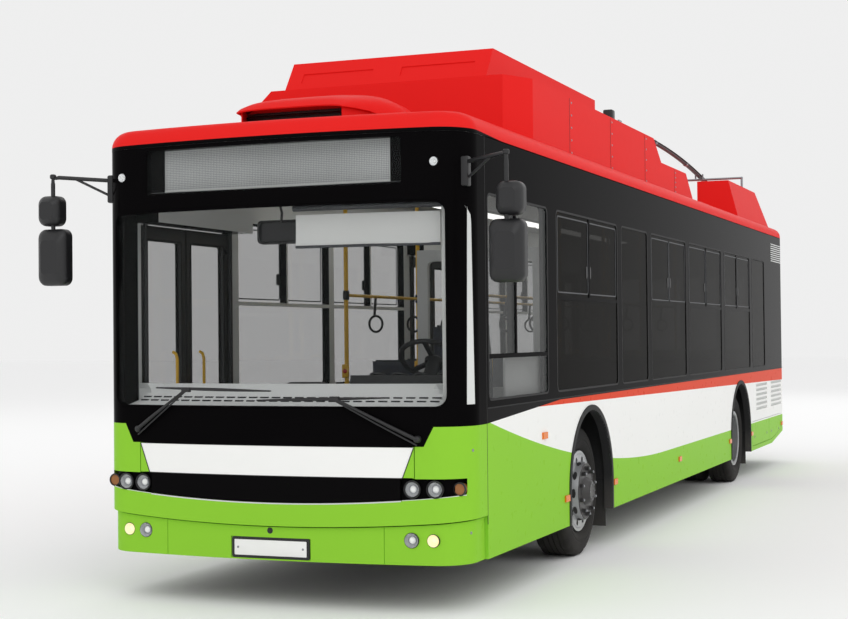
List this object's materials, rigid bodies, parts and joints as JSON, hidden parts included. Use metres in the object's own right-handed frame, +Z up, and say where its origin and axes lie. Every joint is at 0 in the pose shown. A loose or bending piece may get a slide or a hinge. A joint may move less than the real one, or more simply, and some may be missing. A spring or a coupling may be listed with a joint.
{
  "type": "electric bus",
  "caption": "Full-size single-deck electric city bus with roof poles, steered front axle, twin rear wheels, inward-swinging double doors, hinged lids and a furnished cabin.",
  "frame": {"origin": "on the road under the middle of the whole length, body and poles together, on the centre line", "axes": "+X to the vehicle's left, +Y towards its rear, +Z up"},
  "size_m": [3.295, 12.505, 3.8],
  "materials": {
    "red_paint": "gloss",
    "floor_grey": "matt",
    "white_paint": "gloss",
    "green_paint": "gloss",
    "black_panel": "gloss",
    "clear_glass": "polished",
    "tinted_glass": "polished",
    "amber_lens": "gloss",
    "rubber": "matt",
    "pole_black": "satin",
    "steel": "satin",
    "trim_grey": "matt",
    "seat_cloth": "matt",
    "yellow_paint": "gloss",
    "frame_black": "matt",
    "tyre": "matt",
    "rim_silver": "satin"
  },
  "bodies": {
    "coach": {"roof": "red_paint", "floor": "floor_grey", "wheel_boxes": "floor_grey", "side_left": "white_paint", "side_right": "white_paint", "window_frames": "black_panel", "front_mask": "black_panel", "front_panel": "green_paint", "front_bumper": "green_paint", "rear_wall": "white_paint", "windscreen": "clear_glass", "windows": "tinted_glass", "display": "black_panel", "head_lamps": "clear_glass", "signal_lamps": "amber_lens", "wipers": "black_panel", "mirrors": "black_panel", "arch_trims": "rubber", "roof_fairing": "red_paint", "roof_covers": "red_paint", "pole_gear": "steel", "dashboard": "trim_grey", "seats": "seat_cloth", "grab_rails": "yellow_paint", "cab_partition": "floor_grey", "underframe": "frame_black", "front_axle": "frame_black", "rear_axle": "frame_black", "air_springs": "rubber", "traction_motor": "steel"},
    "left_knuckle": {"knuckle_left": "steel"},
    "right_knuckle": {"knuckle_right": "steel"},
    "front_left_wheel": {"tyre_front_left": "tyre", "rim_front_left": "rim_silver"},
    "front_right_wheel": {"tyre_front_right": "tyre", "rim_front_right": "rim_silver"},
    "rear_left_wheels": {"tyre_rear_left": "tyre", "rim_rear_left": "rim_silver"},
    "rear_right_wheels": {"tyre_rear_right": "tyre", "rim_rear_right": "rim_silver"},
    "left_pole": {"pole_left": "pole_black"},
    "right_pole": {"pole_right": "pole_black"},
    "front_lid": {"front_flap": "white_paint"},
    "rear_lid": {"rear_hatch": "white_paint"},
    "side_flap_a": {"service_flap_front": "green_paint"},
    "side_flap_b": {"service_flap_rear": "green_paint"},
    "door_1_leaf_a": {"door_1_front": "black_panel"},
    "door_1_leaf_b": {"door_1_rear": "black_panel"},
    "door_2_leaf_a": {"door_2_front": "black_panel"},
    "door_2_leaf_b": {"door_2_rear": "black_panel"},
    "door_3_leaf_a": {"door_3_front": "black_panel"},
    "door_3_leaf_b": {"door_3_rear": "black_panel"}
  },
  "joints": [
    {"name": "steer_left", "type": "hinge", "parent": "coach", "child": "left_knuckle", "pos_m": [0.91, -3.43, 0.4785], "axis": [0, 0, 1], "range_deg": [-45, 45]},
    {"name": "steer_right", "type": "hinge", "parent": "coach", "child": "right_knuckle", "pos_m": [-0.91, -3.43, 0.4785], "axis": [0, 0, 1], "range_deg": [-45, 45]},
    {"name": "front_left_spin", "type": "hinge", "parent": "left_knuckle", "child": "front_left_wheel", "pos_m": [1.03, -3.43, 0.4785], "axis": [1, 0, 0], "continuous": true},
    {"name": "front_right_spin", "type": "hinge", "parent": "right_knuckle", "child": "front_right_wheel", "pos_m": [-1.03, -3.43, 0.4785], "axis": [1, 0, 0], "continuous": true},
    {"name": "rear_left_spin", "type": "hinge", "parent": "coach", "child": "rear_left_wheels", "pos_m": [1.05, 2.72, 0.4785], "axis": [1, 0, 0], "continuous": true},
    {"name": "rear_right_spin", "type": "hinge", "parent": "coach", "child": "rear_right_wheels", "pos_m": [-1.05, 2.72, 0.4785], "axis": [1, 0, 0], "continuous": true},
    {"name": "door_1_front_turn", "type": "hinge", "parent": "coach", "child": "door_1_leaf_a", "pos_m": [-1.17, -5.708, 1.386], "axis": [0, 0, -1], "range_deg": [0, 90]},
    {"name": "door_1_rear_turn", "type": "hinge", "parent": "coach", "child": "door_1_leaf_b", "pos_m": [-1.17, -4.542, 1.386], "axis": [0, 0, 1], "range_deg": [0, 90]},
    {"name": "door_2_front_turn", "type": "hinge", "parent": "coach", "child": "door_2_leaf_a", "pos_m": [-1.17, -0.963, 1.386], "axis": [0, 0, -1], "range_deg": [0, 90]},
    {"name": "door_2_rear_turn", "type": "hinge", "parent": "coach", "child": "door_2_leaf_b", "pos_m": [-1.17, 0.203, 1.386], "axis": [0, 0, 1], "range_deg": [0, 90]},
    {"name": "door_3_front_turn", "type": "hinge", "parent": "coach", "child": "door_3_leaf_a", "pos_m": [-1.17, 3.537, 1.386], "axis": [0, 0, -1], "range_deg": [0, 90]},
    {"name": "door_3_rear_turn", "type": "hinge", "parent": "coach", "child": "door_3_leaf_b", "pos_m": [-1.17, 4.703, 1.386], "axis": [0, 0, 1], "range_deg": [0, 90]},
    {"name": "left_pole_lift", "type": "hinge", "parent": "coach", "child": "left_pole", "pos_m": [0.4, 0.67, 3.745], "axis": [1, 0, 0], "range_deg": [0, 40]},
    {"name": "right_pole_lift", "type": "hinge", "parent": "coach", "child": "right_pole", "pos_m": [-0.4, 0.67, 3.745], "axis": [1, 0, 0], "range_deg": [0, 40]},
    {"name": "front_lid_lift", "type": "hinge", "parent": "coach", "child": "front_lid", "pos_m": [0, -6.23, 0.984], "axis": [-1, 0, 0], "range_deg": [0, 80]},
    {"name": "rear_lid_lift", "type": "hinge", "parent": "coach", "child": "rear_lid", "pos_m": [0, 5.77, 1.28], "axis": [1, 0, 0], "range_deg": [0, 80]},
    {"name": "side_flap_a_lift", "type": "hinge", "parent": "coach", "child": "side_flap_a", "pos_m": [1.25, 4.02, 0.618], "axis": [0, -1, 0], "range_deg": [0, 100]},
    {"name": "side_flap_b_lift", "type": "hinge", "parent": "coach", "child": "side_flap_b", "pos_m": [1.25, 5.06, 0.618], "axis": [0, -1, 0], "range_deg": [0, 100]}
  ],
  "couplings": [
    {"joint": "steer_right", "follows": "steer_left", "ratio": 1},
    {"joint": "door_1_rear_turn", "follows": "door_1_front_turn", "ratio": 1},
    {"joint": "door_2_rear_turn", "follows": "door_2_front_turn", "ratio": 1},
    {"joint": "door_3_rear_turn", "follows": "door_3_front_turn", "ratio": 1}
  ]
}
